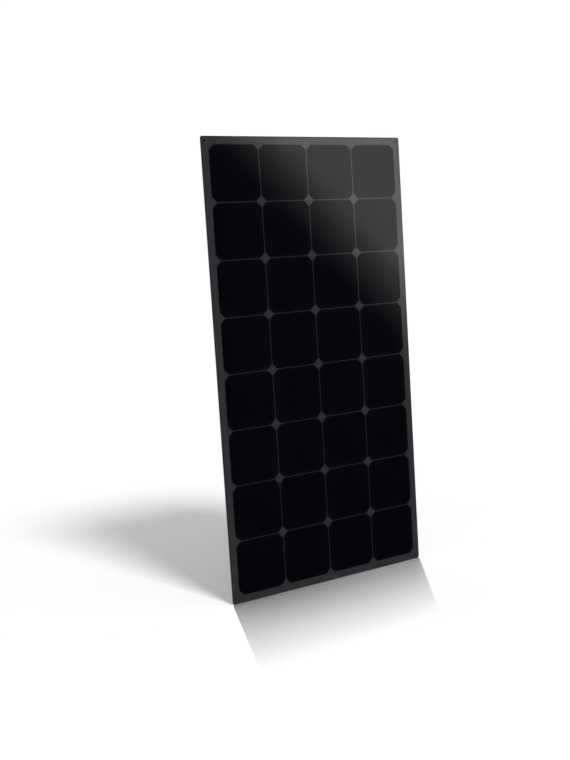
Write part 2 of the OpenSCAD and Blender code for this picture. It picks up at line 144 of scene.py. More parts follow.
class Graph:
    """The emptied node tree of a material or world, with short ways to add nodes."""

    def __init__(self, owner):
        owner.use_nodes = True
        self.tree = owner.node_tree
        self.tree.nodes.clear()

    def node(self, kind, inputs=None, **settings):
        node = self.tree.nodes.new("ShaderNode" + kind)
        for key, value in settings.items():
            setattr(node, key, value)
        for key, value in (inputs or {}).items():
            socket = node.inputs[key]
            if isinstance(value, Signal):
                self.tree.links.new(value.socket, socket)
            elif socket.type == "RGBA":
                socket.default_value = (*value, 1.0)
            else:
                socket.default_value = value
        return node

    def make(self, kind, inputs=None, output=0, **settings):
        """Adds a node and returns one of its outputs."""
        return Signal(self, self.node(kind, inputs, **settings).outputs[output])

    def outputs(self, kind, keys, inputs=None):
        """Adds a node and returns several of its outputs."""
        node = self.node(kind, inputs)
        return [Signal(self, node.outputs[key]) for key in keys]

    def separate(self, vector):
        return self.outputs("SeparateXYZ", (0, 1, 2), {0: vector})

    def point(self):
        return self.make("TexCoord", output="Object")

    def position(self):
        return self.make("NewGeometry", output="Position")

    def math(self, operation, first, second=None, clamp=False):
        inputs = {0: first} if second is None else {0: first, 1: second}
        return self.make("Math", inputs, operation=operation, use_clamp=clamp)

    def radius(self, first, second):
        return self.math("SQRT", first * first + second * second)

    def vector(self, operation, first, second, output=0):
        return self.make("VectorMath", {0: first, 1: second}, output, operation=operation)

    def dot(self, first, second):
        return self.vector("DOT_PRODUCT", first, second, output="Value")

    def mix(self, factor, first, second):
        """Blends two colours."""
        return self.make("Mix", {0: factor, 6: first, 7: second}, output=2, data_type="RGBA")

    def mix_value(self, factor, first, second):
        return self.make("Mix", {0: factor, 2: first, 3: second}, data_type="FLOAT")

    def noise(self, vector, scale, detail=3.0, roughness=0.55):
        return self.make("TexNoise", {"Vector": vector, "Scale": scale, "Detail": detail,
                                      "Roughness": roughness})

    def stretch(self, vector, scales):
        return self.make("Mapping", {"Vector": vector, "Scale": scales})

    def streaks(self, vector, scales, detail=3.0):
        """Noise with its own scale along each axis."""
        return self.noise(self.stretch(vector, scales), scale=1.0, detail=detail)

    def bump(self, height, distance, strength, normal=None):
        inputs = {"Height": height, "Distance": distance, "Strength": strength}
        if normal is not None:
            inputs["Normal"] = normal
        return self.make("Bump", inputs)

    def principled(self, colour, roughness, normal=None, specular=0.5, metallic=0.0, coat=None):
        inputs = {"Base Color": colour, "Roughness": roughness, "Metallic": metallic,
                  "Specular IOR Level": specular, **(coat or {})}
        if normal is not None:
            inputs["Normal"] = normal
        return self.make("BsdfPrincipled", inputs)

    def finish(self, shader, kind="OutputMaterial"):
        self.node(kind, {"Surface": shader})


def shade(colour, factor):
    return tuple(channel * factor for channel in colour)


def make_material(name, build, **settings):
    """A material whose surface is the shader that build(graph, **settings) returns."""
    material = bpy.data.materials.new(name)
    graph = Graph(material)
    graph.finish(build(graph, **settings))
    return material


# ------------------------------------------------------------------ materials
FILM_IOR, FILM_ROUGHNESS = 1.40, 0.06
WEAVE_PITCH = 0.00135
TURNING_PITCH = 0.00045  # between the rings on a turned face
DIODE_X = 0.0165  # diode middles, at both sides of the box's middle
BAND_OFFSET, BAND_HALF_WIDTH = 0.0031, 0.00065


def plastic(graph, base):
    """Moulded plastic: spark-eroded grain, slow tone drift, uneven gloss."""
    point = graph.point()
    fine = graph.noise(point, scale=2600.0, detail=2.0, roughness=0.6)
    middle = graph.noise(point, scale=2600.0 * 0.22, roughness=0.5)
    slow = graph.noise(point, scale=38.0, detail=4.0, roughness=0.6)
    tone = graph.mix(slow.ramp(start=0.3, end=0.7), shade(base, 0.75), shade(base, 1.25))
    colour = graph.mix(fine.ramp(start=0.35, end=0.75), tone, shade(base, 1.4))
    return graph.principled(
        colour, roughness=middle.remap(low=0.31, high=0.44), specular=0.55,
        normal=graph.bump(fine * 0.7 + middle * 0.5, distance=0.000025, strength=0.8))


def laminate_board(graph, base):
    """Black glass-fibre laminate: plain weave showing through a satin resin skin."""
    point = graph.point()
    wobble = graph.make("TexNoise", {"Vector": point, "Scale": 14.0}, output=1)
    wavy = graph.vector("ADD", point, graph.stretch(wobble, (0.0006, 0.0006, 0.0006)))
    x, _, z = graph.separate(wavy)
    sine_x = graph.math("SINE", x * (math.pi / WEAVE_PITCH))
    sine_z = graph.math("SINE", z * (math.pi / WEAVE_PITCH))
    over = sine_x * sine_z > 0.0  # which of the two strands lies on top
    height = graph.mix_value(over, abs(sine_z), abs(sine_x))
    fibres_z = graph.streaks(point, (3000, 3000, 420), detail=2.0)
    fibres_x = graph.streaks(point, (420, 3000, 3000), detail=2.0)
    fibres = graph.mix_value(over, fibres_x, fibres_z)
    slow = graph.noise(point, scale=7.0, detail=5.0, roughness=0.62)
    dust = graph.noise(point, scale=90.0, detail=5.0, roughness=0.7)

    weave = height * 0.55 + fibres * 0.45
    colour = graph.mix(weave, shade(base, 0.35), shade(base, 1.75))
    colour = graph.mix(over * 0.35, colour, shade(base, 1.6))
    paler = graph.mix(0.5, colour, shade(base, 1.6))
    colour = graph.mix(slow.ramp(start=0.32, end=0.72), colour, paler)
    colour = graph.mix(dust.ramp(start=0.60, end=0.80) * 0.16, colour, (0.09, 0.088, 0.085))
    normal = graph.bump(height, distance=0.00003, strength=0.7)
    normal = graph.bump(slow, distance=0.0006, strength=0.25, normal=normal)
    return graph.principled(colour, roughness=slow.remap(low=0.36, high=0.52),
                            specular=0.34, normal=normal)


def under_film(graph, point, through, **surface):
    """A surface with the front film's mirror on it, so that few samples already resolve it.

    It also lets a little light through to the black layer behind it. None comes back, but it
    lets the renderer tell the layers apart when it smooths its noise.
    """
    slow = graph.noise(point, scale=16.0, roughness=0.5)
    fine = graph.noise(point, scale=420.0, detail=2.0, roughness=0.5)
    coat = {
        "Coat Weight": 1.0,
        "Coat IOR": FILM_IOR,
        "Coat Roughness": fine.remap(low=FILM_ROUGHNESS * 0.8, high=FILM_ROUGHNESS * 1.2),
        "Coat Normal": graph.bump(slow + fine * 0.02, distance=0.00006, strength=0.5),
    }
    layer = graph.principled(coat=coat, **surface)
    leak = graph.make("BsdfTranslucent", {"Color": (through, through, through)})
    return graph.make("AddShader", {0: layer, 1: leak})


def cells_along(coordinate, half_extent):
    """A coordinate counted in cells from -half_extent."""
    return (coordinate + half_extent) * (1 / CELL_PITCH)


def encapsulant(graph, base):
    """Black encapsulant under the clear layers: satin charcoal with a soft woven grain."""
    point = graph.point()
    grain = graph.noise(point, scale=1400.0, roughness=0.6)
    cloth = graph.streaks(point, (900, 900, 260), detail=2.0)
    slow = graph.noise(point, scale=11.0, detail=4.0, roughness=0.6)
    colour = graph.mix(grain.ramp(start=0.3, end=0.72), shade(base, 0.80), shade(base, 1.22))
    colour = graph.mix(cloth * 0.35, colour, shade(base, 1.3))
    colour = graph.mix(slow.ramp(start=0.35, end=0.7) * 0.3, colour, shade(base, 1.25))

    # The narrow strips between neighbouring cells are shinier and carry painted shade that makes them
    # a little darker.
    # Distances, in cells, from the nearest cell boundary.
    x, _, z = graph.separate(point)
    from_edge_x, from_edge_z = (
        abs(graph.math("FRACT", cells_along(axis, half_extent + CELL_PITCH / 2)) - 0.5)
        for axis, half_extent in ((x, CELLS_HALF_WIDTH), (z, CELLS_HALF_HEIGHT)))
    near = graph.math("MINIMUM", from_edge_x, from_edge_z) < 0.012
    along = graph.math("MAXIMUM", from_edge_x, from_edge_z) > 0.085
    shaded_gap_strip = near * along
    # painted shade in the narrow gaps between cells
    colour = graph.mix(shaded_gap_strip * 0.07, colour, (0.002, 0.002, 0.002))
    return under_film(
        graph, point, through=0.09, colour=colour,
        roughness=grain.remap(low=0.13, high=0.18), specular=0.30 + shaded_gap_strip * 0.22,
        normal=graph.bump(grain * 0.6 + cloth * 0.6, distance=0.000004, strength=0.4))


def silicon_cell(graph, base):
    """Textured monocrystalline silicon: near black, faintly blue, each cell its own tone."""
    point = graph.point()
    x, _, z = graph.separate(point)
    column = graph.math("FLOOR", cells_along(x, CELLS_HALF_WIDTH))
    row = graph.math("FLOOR", cells_along(z, CELLS_HALF_HEIGHT))
    cell_number = graph.make("CombineXYZ", {0: column, 1: 3.0, 2: row})
    random = graph.make("TexWhiteNoise", {"Vector": cell_number}, noise_dimensions="3D")
    fine = graph.noise(point, scale=5200.0, detail=2.0, roughness=0.65)
    cloud = graph.noise(point, scale=26.0, detail=4.0)
    blue = (base[0] * 0.8, base[1] * 0.95, base[2] * 1.5)
    colour = graph.mix(random * 0.55, base, blue)
    colour = graph.mix(cloud.ramp(start=0.35, end=0.7), shade(base, 0.85), colour)
    colour = graph.mix(fine * 0.5, colour, shade(blue, 1.35))

    # very faint rings of the crystal's growth, centred on each cell
    across = graph.math("FRACT", cells_along(x, CELLS_HALF_WIDTH)) - 0.5
    upward = graph.math("FRACT", cells_along(z, CELLS_HALF_HEIGHT)) - 0.5
    ring = graph.math("SINE", graph.radius(across, upward) * 46.0 + random * 6.0)
    colour = graph.mix(ring.ramp(start=-1.0, end=1.0) * 0.22, colour, shade(blue, 1.25))
    return under_film(
        graph, point, through=0.022, colour=colour,
        roughness=fine.remap(low=0.34, high=0.42), specular=0.01,
        normal=graph.bump(fine, distance=0.000006, strength=0.5))


def clear_layer(graph, tint, edge):
    """A clear layer: its faces show what lies behind, and its thin edge looks slightly grey."""
    slow = graph.noise(graph.point(), scale=16.0, roughness=0.5)
    clear = graph.make("BsdfTransparent", {"Color": graph.mix(slow, tint, WHITE)})
    _, normal_y, _ = graph.separate(graph.make("NewGeometry", output="True Normal"))
    rim = (abs(normal_y) < 0.5) * 0.75
    cut = graph.principled(graph.mix(slow, shade(edge, 0.8), shade(edge, 1.2)), roughness=0.32)
    return graph.make("MixShader", {0: rim, 1: clear, 2: cut})


def metal(graph, base, roughness, tarnish=None, centre=None):
    """Metal: turned rings about a Y axis through the centre if given, else a dull rolled skin."""
    point = graph.point()
    slow = graph.noise(point, scale=160.0, detail=4.0, roughness=0.6)
    if centre:
        x, _, z = graph.separate(graph.vector("SUBTRACT", point, centre))
        phase = graph.radius(x, z) * (2 * math.pi / TURNING_PITCH) + slow * 3.0
        lines = (graph.math("SINE", phase) + 1.0) * 0.5
    else:
        lines = graph.streaks(point, (2600, 2600, 240))
    specks = graph.noise(point, scale=900.0, roughness=0.7)
    dull = tarnish or shade(base, 0.62)
    colour = graph.mix(lines, shade(base, 0.86), shade(base, 1.06))
    colour = graph.mix(slow.ramp(start=0.42, end=0.75) * 0.6, colour, dull)
    colour = graph.mix(specks.ramp(start=0.62, end=0.75) * 0.35, colour, shade(base, 0.45))
    wear = slow * 0.6 + lines * 0.4
    return graph.principled(
        colour, roughness=wear.remap(low=roughness - 0.07, high=roughness + 0.1), metallic=1.0,
        normal=graph.bump(lines, distance=0.000010, strength=0.5))


def rubber(graph, base, roughness=0.62, grain=1700.0, depth=0.00003, specular=0.3, dust=0.12,
           draw_lines=False):
    """Rubber with a fine grain and a little dust; a cable's also has faint lines up its length."""
    point = graph.point()
    fine = graph.noise(point, scale=grain, roughness=0.65)
    slow = graph.noise(point, scale=70.0, detail=5.0, roughness=0.65)
    colour = graph.mix(fine.ramp(start=0.3, end=0.7), shade(base, 0.75), shade(base, 1.3))
    colour = graph.mix(slow.ramp(start=0.5, end=0.78) * dust, colour, (0.13, 0.125, 0.12))
    height = fine
    if draw_lines:
        lines = graph.streaks(point, (2400, 2400, 30))
        height = fine * 0.5 + lines * 0.8
        colour = graph.mix(lines * 0.25, colour, shade(base, 1.5))
    return graph.principled(
        colour, roughness=slow.remap(low=roughness - 0.07, high=roughness + 0.08),
        specular=specular, normal=graph.bump(height, distance=depth, strength=0.7))


def foam(graph, base):
    """Foam with small round pores, with painted shade darkening each pore towards its middle."""
    pores = graph.make("TexVoronoi", {"Vector": graph.point(), "Scale": 1500.0},
                       output="Distance")
    # painted shade in the pores
    colour = graph.mix(pores.ramp(start=0.1, end=0.6), shade(base, 0.5), shade(base, 1.35))
    return graph.principled(colour, roughness=0.85, specular=0.2,
                            normal=graph.bump(pores, distance=0.00012, strength=0.8))


def diode(graph, base):
    """Black epoxy body with a silver cathode band near its +X end."""
    point = graph.point()
    x, _, _ = graph.separate(point)
    left, right = (abs(x - (middle + BAND_OFFSET)) < BAND_HALF_WIDTH
                   for middle in (-DIODE_X, DIODE_X))
    band = graph.math("MAXIMUM", left, right)
    fine = graph.noise(point, scale=2500.0)
    colour = graph.mix(fine, shade(base, 0.8), shade(base, 1.4))
    colour = graph.mix(band * 0.92, colour, (0.52, 0.52, 0.52))
    return graph.principled(colour, roughness=fine.remap(low=0.28, high=0.4),
                            normal=graph.bump(fine, distance=0.00001, strength=0.6))


def tape(graph, base):
    """Tape or thin film with a streaky satin surface."""
    streaks = graph.streaks(graph.point(), (1800, 1800, 300))
    colour = graph.mix(streaks, shade(base, 0.7), shade(base, 1.4))
    return graph.principled(colour, roughness=streaks.remap(low=0.42, high=0.55),
                            normal=graph.bump(streaks, distance=0.00002, strength=0.5))


STEEL = dict(base=(0.60, 0.60, 0.59), roughness=0.27)
MATERIALS = {name: make_material(name, build, **settings) for name, build, settings in (
    ("board", laminate_board, dict(base=(0.015, 0.0153, 0.0163))),
    ("insulating_film", tape, dict(base=(0.02, 0.02, 0.02))),
    ("encapsulant", encapsulant, dict(base=(0.0222, 0.0222, 0.0238))),
    ("cell", silicon_cell, dict(base=(0.0013, 0.0015, 0.0018))),
    ("copper", metal, dict(base=(0.72, 0.36, 0.21), roughness=0.34, tarnish=(0.40, 0.17, 0.10))),
    ("tinned_copper", metal, dict(base=(0.63, 0.63, 0.62), roughness=0.36)),
    ("insulator", tape, dict(base=(0.03, 0.03, 0.03))),
    ("clear_encapsulant", clear_layer,
     dict(tint=(0.985, 0.99, 0.99), edge=(0.030, 0.030, 0.032))),
    ("front_film", clear_layer, dict(tint=(0.985, 0.988, 0.99), edge=(0.045, 0.045, 0.048))),
    ("sealant", rubber, dict(base=(0.012, 0.012, 0.0125), roughness=0.5, grain=900.0,
                             depth=0.00006, specular=0.35, dust=0.05)),
    ("box_plastic", plastic, dict(base=(0.012, 0.012, 0.013))),
    ("steel", metal, STEEL),
    ("rubber", rubber, dict(base=(0.017, 0.017, 0.017))),
    ("grey_rubber", rubber, dict(base=(0.10, 0.10, 0.105), roughness=0.58, grain=1500.0,
                                 dust=0.1)),
    ("diode", diode, dict(base=(0.018, 0.018, 0.02))),
    ("cable_jacket", rubber, dict(base=(0.019, 0.019, 0.020), roughness=0.50, grain=2200.0,
                                  depth=0.000022, specular=0.42, dust=0.10, draw_lines=True)),
    ("pad", foam, dict(base=(0.05, 0.05, 0.052))),
    ("steel_left", metal, dict(centre=(-SCREW_X, 0.0, SCREW_Z), **STEEL)),
    ("steel_right", metal, dict(centre=(SCREW_X, 0.0, SCREW_Z), **STEEL)),
)}
SLOTS = {part["node"]: part["material_slot"] for part in frame["record"]["subparts"]}


def dress(piece, slot, material=None):
    piece.data.materials.clear()
    piece.data.materials.append(material or MATERIALS[slot])


# ------------------------------------------------------------------ finished pieces
BEVEL_ANGLE = math.radians(33.0)  # edges sharper than this are eased
FLAT_ANGLE = math.radians(0.5)  # faces closer than this are merged
WELD = 1e-6
FACE_TOLERANCE = 2e-6  # how near a vertex lies to a face that is moved
WASHER_THINNING = 0.012  # mm off both faces, so that it doesn't share one with what it touches

# eased radius of each piece's sharp edges, mm
EDGE_RADII = {
    "backing_board": 0.12, "box_base": 0.25, "box_lid": 0.30, "hinge_pins": 0.2,
    "screw_washer_left": 0.1, "screw_washer_right": 0.1,
    "gland_cage_positive": 0.1, "gland_cage_negative": 0.1,
    "gland_nut_positive": 0.25, "gland_nut_negative": 0.25,
    "clip_pads": 0.1, "cable_clips": 0.3, "plug_body": 0.2, "socket_body": 0.2,
    "plug_contact": 0.08, "socket_contact": 0.08, "plug_o_ring": 0.0,
    "plug_cage": 0.1, "socket_cage": 0.1, "plug_nut": 0.25, "socket_nut": 0.25,
    "terminal_positive": 0.1, "terminal_centre": 0.1, "terminal_negative": 0.1,
    "bypass_diodes": 0.35, "diode_leads": 0.0, "lid_gasket": 0.12,
    "gland_seals": 0.15, "plug_cable_seal": 0.15, "socket_cable_seal": 0.15,
}
SCREW_EDGE_RADIUS = 0.15


def smooth_by_angle(mesh, degrees):
    for name in ("custom_normal", "sharp_face", "sharp_edge"):
        attribute = mesh.attributes.get(name)
        if attribute is not None:
            mesh.attributes.remove(attribute)
    mesh.polygons.foreach_set("use_smooth", [True] * len(mesh.polygons))
    mesh.set_sharp_from_angle(angle=math.radians(degrees))
    mesh.update()


def add_object(name, data):
    added = bpy.data.objects.new(name, data)
    scene.collection.objects.link(added)
    return added


def stand_in(piece, node, material=None):
    """Puts a finished piece in a CAD node's place."""
    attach(piece, nodes[node]["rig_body"])
    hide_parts(node)
    dress(piece, SLOTS[node], material)


def thin_down(shape, thinning):
    """Takes the thinning, in mm, off both Y faces."""
    depths = [vertex.co.y for vertex in shape.verts]
    middle = (min(depths) + max(depths)) / 2
    half = (max(depths) - min(depths)) / 2
    for vertex in shape.verts:
        vertex.co.y = middle + (vertex.co.y - middle) * (half - thinning * MM) / half


def ease_edges(shape, radius):
    edges = [edge for edge in shape.edges
             if len(edge.link_faces) == 2 and edge.calc_face_angle(0.0) > BEVEL_ANGLE]
    if edges:
        bmesh.ops.bevel(shape, geom=edges, offset=radius * MM, offset_type="OFFSET", segments=2,
                        profile=0.5, affect="EDGES", clamp_overlap=True,
                        miter_outer="SHARP", miter_inner="SHARP")


def soft_copy(node, radius, thinning=0.0, material=None):
    """The CAD node again, its sharp edges eased as moulding and turning leave them."""
    shape = bmesh.new()
    shape.from_mesh(nodes[node].data)
    if thinning:
        thin_down(shape, thinning)
    bmesh.ops.remove_doubles(shape, verts=shape.verts, dist=WELD)
    bmesh.ops.dissolve_degenerate(shape, edges=shape.edges, dist=1e-7)
    bmesh.ops.dissolve_limit(shape, angle_limit=FLAT_ANGLE, verts=shape.verts,
                             edges=shape.edges, use_dissolve_boundaries=False)
    bmesh.ops.recalc_face_normals(shape, faces=shape.faces)
    spare = shape.copy()
    if radius:
        ease_edges(shape, radius)
    # a bevelled shape that isn't closed is given up for the plain one
    if any(len(edge.link_faces) != 2 for edge in shape.edges):
        shape, spare = spare, shape
    spare.free()
    bmesh.ops.triangulate(shape, faces=[face for face in shape.faces if len(face.verts) > 4])
    mesh = bpy.data.meshes.new(node + "_finished")
    shape.to_mesh(mesh)
    shape.free()
    smooth_by_angle(mesh, 30.0)
    piece = add_object(node + "_finished", mesh)
    shading = piece.modifiers.new("even_shading", "WEIGHTED_NORMAL")
    shading.mode = "FACE_AREA"
    shading.weight = 100
    shading.keep_sharp = True
    stand_in(piece, node, material)


def layer_copy(node, old_y, new_y):
    """A laminate layer with one face moved a little (mm), so that no two layers share a face."""
    mesh = nodes[node].data.copy()
    mesh.name = node + "_finished"
    for vertex in mesh.vertices:
        if abs(vertex.co.y - old_y * MM) < FACE_TOLERANCE:
            vertex.co.y = new_y * MM
    shape = bmesh.new()
    shape.from_mesh(mesh)
    bmesh.ops.remove_doubles(shape, verts=shape.verts, dist=WELD)
    shape.to_mesh(mesh)
    shape.free()
    smooth_by_angle(mesh, 30.0)
    stand_in(add_object(node + "_finished", mesh), node)


# ------------------------------------------------------------------ cables
# centre line, mm; x is for the cable at +X
CABLE_Y = 8.6
GLAND_X, TAIL_X = 33.0, 133.0
BEND_RADIUS = 40.0
BEND_STEPS = 24
FIRST_BEND_Z = 350.0
SIDE_RUN_Z = FIRST_BEND_Z - BEND_RADIUS
SIDE_RUN_XS = (78.0, 83.0, 88.0)
SECOND_BEND_Z = SIDE_RUN_Z - BEND_RADIUS
STEP = 4.0
FINE_STEP, FINE_BOTTOM, FINE_TOP = 1.25, 30, 80  # shorter steps where the tail flexes
JACKET_RADIUS, JACKET_BORE, CORE_RADIUS = 3.0, 1.35, 1.3
JACKET_TOP, JACKET_END = 400.0, -44.0
CORE_TOP, CORE_END = 413.0, -51.0


def cable_path(side, top, end):
    """Points (metres) and directions: down from the gland, outwards, down to the connector."""
    stations = []  # x, z, direction in XZ
    z = top
    while z > FIRST_BEND_Z + 1e-6:
        stations.append((GLAND_X, z, (0, -1)))
        z -= STEP
    turns = [math.radians(90 * i / BEND_STEPS) for i in range(BEND_STEPS + 1)]
    for turn in turns:
        stations.append((GLAND_X + BEND_RADIUS - BEND_RADIUS * math.cos(turn),
                         FIRST_BEND_Z - BEND_RADIUS * math.sin(turn),
                         (math.sin(turn), -math.cos(turn))))
    for x in SIDE_RUN_XS:
        stations.append((x, SIDE_RUN_Z, (1, 0)))
    for turn in turns:
        stations.append((TAIL_X - BEND_RADIUS + BEND_RADIUS * math.sin(turn),
                         SECOND_BEND_Z + BEND_RADIUS * math.cos(turn),
                         (math.cos(turn), -math.sin(turn))))
    z = SECOND_BEND_Z - 5.0
    while z > end + 1e-6:
        stations.append((TAIL_X, z, (0, -1)))
        z -= FINE_STEP if FINE_BOTTOM < z <= FINE_TOP else STEP
    stations.append((TAIL_X, end, (0, -1)))
    points = [Vector((side * x * MM, CABLE_Y * MM, z * MM)) for x, z, _ in stations]
    directions = [Vector((side * along[0], 0, along[1])).normalized() for _, _, along in stations]
    return points, directions


def sweep(name, path, radius, bore, segments):
    """A closed solid swept along a path in an XZ plane: a rod, or a tube if it has a bore."""
    up = Vector((0, 1, 0))
    vertices, faces = [], []

    def ring(centre, direction, ring_radius):
        across = direction.cross(up).normalized()
        first = len(vertices)
        for i in range(segments):
            angle = 2 * math.pi * i / segments
            vertices.append(centre + across * (ring_radius * math.cos(angle))
                            + up * (ring_radius * math.sin(angle)))
        return first

    outer = [ring(*station, radius) for station in zip(*path)]
    inner = [ring(*station, bore) for station in zip(*path)] if bore else []
    for rings, inward in ((outer, False), (inner, True)):
        for start, end in zip(rings, rings[1:]):
            for i in range(segments):
                j = (i + 1) % segments
                face = [start + i, start + j, end + j, end + i]
                faces.append(face[::-1] if inward else face)
    for at in (0, -1):
        first = outer[at]
        centre = len(vertices)
        if not bore:
            vertices.append(path[0][at])
        for i in range(segments):
            j = (i + 1) % segments
            if bore:
                face = [first + i, inner[at] + i, inner[at] + j, first + j]
            else:
                face = [first + i, centre, first + j]
            faces.append(face if at == 0 else face[::-1])
    mesh = bpy.data.meshes.new(name)
    mesh.from_pydata([tuple(vertex) for vertex in vertices], [], faces)
    mesh.validate()
    shape = bmesh.new()
    shape.from_mesh(mesh)
    bmesh.ops.recalc_face_normals(shape, faces=shape.faces)
    shape.to_mesh(mesh)
    shape.free()
    smooth_by_angle(mesh, 40.0)
    return add_object(name, mesh)


def build_cable(side, polarity):
    jacket = sweep("cable_jacket_" + polarity, cable_path(side, JACKET_TOP, JACKET_END),
                   radius=JACKET_RADIUS * MM, bore=JACKET_BORE * MM, segments=32)
    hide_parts("cable_" + polarity, "cable_tail_" + polarity)
    dress(jacket, "cable_jacket")
    core = sweep("conductor_core_" + polarity, cable_path(side, CORE_TOP, CORE_END),
                 radius=CORE_RADIUS * MM, bore=0.0, segments=16)
    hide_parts("conductor_" + polarity, "conductor_tail_" + polarity)
    dress(core, "copper")
    for piece in (jacket, core):
        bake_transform(piece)


build_cable(-1, "positive")
build_cable(1, "negative")
layer_copy("front_film", old_y=-2.8, new_y=-2.81)
layer_copy("front_encapsulant", old_y=-2.4, new_y=-2.42)
for node, radius in EDGE_RADII.items():
    soft_copy(node, radius, WASHER_THINNING if node.startswith("screw_washer") else 0.0)
for side in ("left", "right"):
    soft_copy("lid_screw_" + side, SCREW_EDGE_RADIUS, material=MATERIALS["steel_" + side])

# the CAD nodes that still show
for node, piece in nodes.items():
    if not piece.hide_render:
        dress(piece, SLOTS[node])


# ------------------------------------------------------------------ stage
def add_stage(name, vertices, faces, material, hidden_from):
    """A stage piece that the named kinds of ray don't see."""
    mesh = bpy.data.meshes.new(name)
    mesh.from_pydata(vertices, [], faces)
    piece = add_object(name, mesh)
    mesh.materials.append(material)
    for ray in hidden_from:
        setattr(piece, "visible_" + ray, False)
    piece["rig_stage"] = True


def circle(radius, count):
    """Points round a circle about the origin."""
    angles = (2 * math.pi * i / count for i in range(count))
    return [(radius * math.cos(angle), radius * math.sin(angle)) for angle in angles]


FLOOR_Z = -0.5252
FLOOR_RADII = (0.4, 0.9, 1.6, 3.0, 6.0, 14.0)
FLOOR_SEGMENTS = 48
BACKDROP = 1.02  # brightness of the far floor and of the world as the camera sees it
REFLECT_REACH = 0.352  # how far in front of the panel the floor mirrors it, at x = 0
REFLECT_SLANT = -0.11  # change of that reach with x
REFLECT_GAIN = 0.765
REFLECT_NORMAL = (-0.150, 0.0, 1.0)


def floor_surface(graph):
    """White floor that glows far off, with a fading polished patch in front of the panel."""
    position, incoming = graph.outputs("NewGeometry", ("Position", "Incoming"))
    x, y, _ = graph.separate(position)
    _, to_eye_y, to_eye_z = graph.separate(incoming)
    far = graph.radius(x, y).ramp(start=1.5, end=3.4)
    mottle = graph.noise(position, scale=3.0)
    white = graph.mix(mottle, (0.895, 0.895, 0.895), (0.905, 0.905, 0.905))
    matt = graph.make("BsdfDiffuse", {"Color": white})
    glow = graph.make("Emission", {"Color": WHITE, "Strength": BACKDROP})
    ground = graph.make("MixShader", {0: far, 1: matt, 2: glow})
    camera_ray = graph.make("LightPath", output="Is Camera Ray")

    # makes up for the light that the panel takes from the floor in front of it
    lift = y.ramp(start=0.0, end=-0.05) * (1.0 - far) * (camera_ray * 0.07)
    lift_glow = graph.make("Emission", {"Color": WHITE, "Strength": lift})
    ground = graph.make("AddShader", {0: ground, 1: lift_glow})

    reach = REFLECT_REACH + x * REFLECT_SLANT
    fade = graph.math("SUBTRACT", 1.0, abs(y) / reach, clamp=True)
    # only for an eye in front of the panel and not far above the floor
    eye = (to_eye_y * -1.0).ramp(start=0.05, end=0.35)
    eye = eye * (1.0 - to_eye_z.ramp(start=0.36, end=0.50))
    patch = (y < 0.0) * (1.0 - abs(x).ramp(start=0.42, end=0.80))
    amount = fade * REFLECT_GAIN * (eye * patch * camera_ray)
    tilted = graph.make("CombineXYZ", dict(enumerate(REFLECT_NORMAL)))
    normal = graph.make("VectorMath", {0: tilted}, operation="NORMALIZE")
    mirror = graph.make("BsdfGlossy", {"Color": WHITE, "Roughness": 0.06, "Normal": normal})
    return graph.make("MixShader", {0: amount, 1: ground, 2: mirror})


def build_floor():
    count = FLOOR_SEGMENTS
    vertices = [(0.0, 0.0, FLOOR_Z)]
    vertices += [(x, y, FLOOR_Z) for radius in FLOOR_RADII for x, y in circle(radius, count)]
    faces = [(0, 1 + i, 1 + (i + 1) % count) for i in range(count)]
    for ring in range(len(FLOOR_RADII) - 1):
        near = 1 + ring * count
        far = near + count
        for i in range(count):
            j = (i + 1) % count
            faces.append((near + i, far + i, far + j, near + j))
    add_stage("stage_floor", vertices, faces, make_material("floor", floor_surface), ("glossy",))


# The card's own frame, and its extent in it.
CARD_ORIGIN = Vector((1.764, -2.467, 0.589))
CARD_ACROSS = Vector((0.823, 0.568, 0.0)).normalized()
CARD_UP = Vector((-0.036, 0.052, 0.998)).normalized()
CARD_LEFT, CARD_RIGHT, CARD_BOTTOM, CARD_TOP = -0.80, 0.95, -2.60, 1.20
CARD_SLANT = (0.778, 0.629)  # direction across and up in which the card brightens
CARD_EDGE = dict(start=-0.266, end=0.026)  # where it brightens, along that direction
CARD_DARK, CARD_RISE = 0.035294118, 0.21176471  # display level at its dark side, and the rise
CARD_BLACK = 0.0030  # linear light taken off
CARD_GAIN = 33.6


def card_surface(graph):
    offset = graph.vector("SUBTRACT", graph.position(), tuple(CARD_ORIGIN))
    across = graph.dot(offset, tuple(CARD_ACROSS))
    up = graph.dot(offset, tuple(CARD_UP))
    place = across * CARD_SLANT[0] + up * CARD_SLANT[1]
    straight = place.remap(low=0.0, high=1.0, **CARD_EDGE)
    rise = straight * 0.75 + place.ramp(**CARD_EDGE) * 0.25
    level = rise * CARD_RISE + CARD_DARK
    # display level to linear light, by the sRGB curve
    linear = graph.math("POWER", (level + 0.055) / 1.055, 2.4)
    power = graph.math("MAXIMUM", linear - CARD_BLACK, 0.0) * CARD_GAIN
    return graph.make("Emission", {"Color": WHITE, "Strength": power})


def build_card():
    """A soft-edged light card that only mirrors see: the slanting highlight on the film."""
    corners = ((CARD_LEFT, CARD_BOTTOM), (CARD_RIGHT, CARD_BOTTOM),
               (CARD_RIGHT, CARD_TOP), (CARD_LEFT, CARD_TOP))
    vertices = [tuple(CARD_ORIGIN + CARD_ACROSS * across + CARD_UP * up)
                for across, up in corners]
    material = make_material("card", card_surface)
    material.cycles.emission_sampling = "NONE"
    add_stage("stage_card", vertices, [(0, 1, 2, 3)], material,
              ("camera", "diffuse", "transmission", "volume_scatter", "shadow"))


HOLE_X, HOLE_Z = 0.261, 0.515
# discs of painted shade behind the corner holes
HOLE_SHADE_Y, HOLE_SHADE_RADIUS, HOLE_SHADE_SEGMENTS = 0.0003, 0.0031, 32


